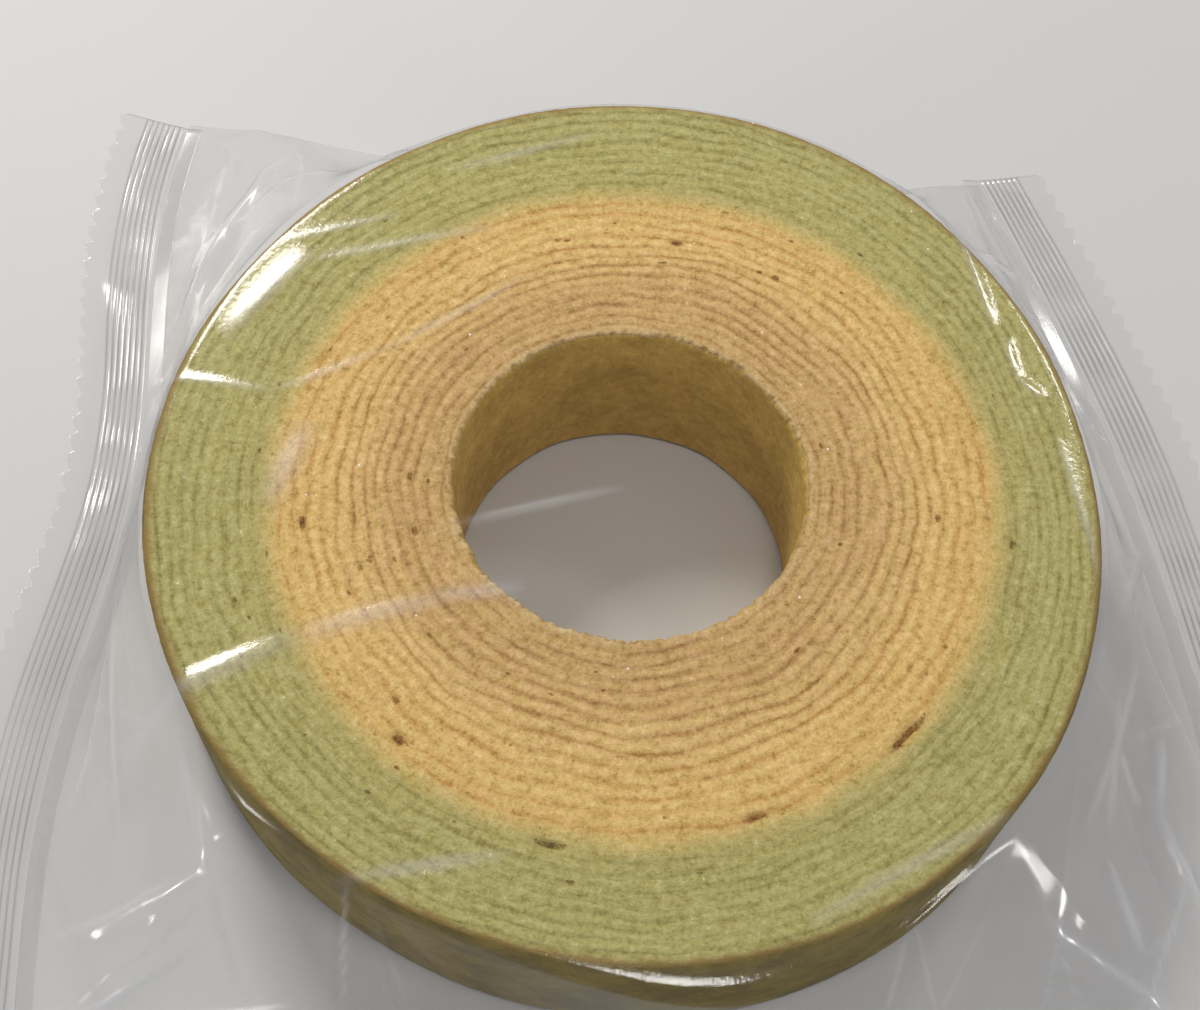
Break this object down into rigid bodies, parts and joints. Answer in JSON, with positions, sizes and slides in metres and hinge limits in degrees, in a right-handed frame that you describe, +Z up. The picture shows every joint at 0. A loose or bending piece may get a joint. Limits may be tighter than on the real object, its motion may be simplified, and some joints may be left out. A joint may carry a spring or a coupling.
{
  "type": "fruit baumkuchen",
  "caption": "Ring-shaped layer cake slice lying flat in its clear sealed flow wrap, with thin golden baked layers round a roller hole and green baked layers outside them.",
  "frame": {"origin": "under the middle of the wrapped cake's box, level with the lower cut face that it lies on", "axes": "+Z up out of the upper cut face, along the roller's axis; +X to the right and +Y away, as the picture shows it"},
  "size_m": [0.2352, 0.1928, 0.0361],
  "materials": {
    "golden_sponge": "matte",
    "green_sponge": "matte",
    "clear_film": "clear gloss"
  },
  "bodies": {
    "root": {"golden_layers": "golden_sponge", "green_layers": "green_sponge", "clear_wrap": "clear_film"}
  },
  "joints": []
}
